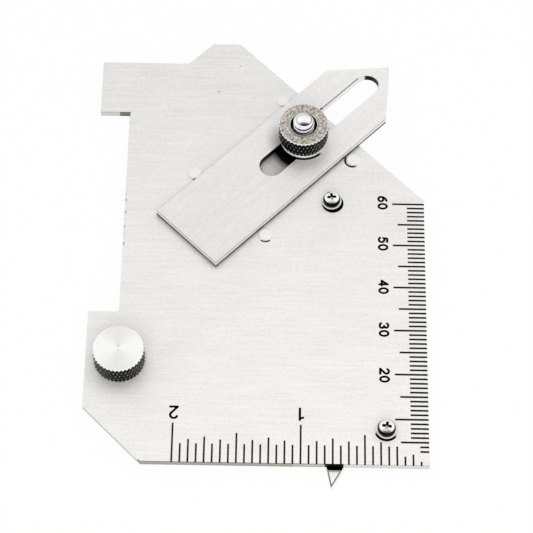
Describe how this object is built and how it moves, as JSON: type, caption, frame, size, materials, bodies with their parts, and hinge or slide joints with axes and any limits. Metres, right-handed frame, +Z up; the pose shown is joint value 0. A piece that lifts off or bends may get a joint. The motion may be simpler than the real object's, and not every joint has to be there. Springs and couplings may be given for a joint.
{
  "type": "weld gauge",
  "caption": "Stainless steel weld gauge: a plate with engraved millimetre and inch scales, a sliding throat bar held by a knurled nut, and a swing arm that ends in a spur.",
  "frame": {"origin": "middle of the footprint, on the surface that the gauge lies on", "axes": "+X along the inch scale away from the recess, +Y along the millimetre scale away from its zero, +Z up, out of the engraved face"},
  "size_m": [0.069, 0.1046, 0.0125],
  "materials": {
    "plate": "fine brushing along the inch scale, satin",
    "slide": "fine brushing along the bar, satin",
    "pins": "turned, satin",
    "knurled": "turned top, knurled rim",
    "fasteners": "bright plated"
  },
  "bodies": {
    "plate": {"main_plate": "plate", "guide_pin_left_behind": "pins", "guide_pin_left_ahead": "pins", "guide_pin_right_behind": "pins", "guide_pin_right_ahead": "pins", "clamp_stud": "fasteners", "arc_strip": "slide", "lower_screw": "fasteners", "upper_screw": "fasteners", "lower_spring_washer": "fasteners", "upper_spring_washer": "fasteners"},
    "slide": {"throat_slide": "slide"},
    "washer": {"clamp_washer": "fasteners"},
    "nut": {"clamp_nut": "knurled"},
    "arm": {"swing_arm": "slide", "pivot_bush": "pins"},
    "thumb": {"thumb_screw": "knurled"}
  },
  "joints": [
    {"name": "throat", "type": "slide", "parent": "plate", "child": "slide", "axis": [0.6997, 0.7145, 0], "range_m": [-0.0197, 0.0097]},
    {"name": "nut_lift", "type": "slide", "parent": "plate", "child": "washer", "axis": [0, 0, 1], "range_m": [0, 0.0025]},
    {"name": "nut_turn", "type": "hinge", "parent": "washer", "child": "nut", "pos_m": [0.00905, 0.02694, 0.0076], "axis": [0, 0, 1], "range_deg": [0, 720.01]},
    {"name": "arm_swing", "type": "hinge", "parent": "plate", "child": "arm", "pos_m": [-0.02755, -0.02557, 0.0015], "axis": [0, 0, 1], "range_deg": [-20, 30]},
    {"name": "thumb_turn", "type": "hinge", "parent": "arm", "child": "thumb", "pos_m": [-0.02755, -0.02557, 0.005], "axis": [0, 0, 1], "range_deg": [0, 180]}
  ],
  "couplings": [
    {"joint": "nut_turn", "follows": "nut_lift", "rad_per_m": 5026.5}
  ]
}
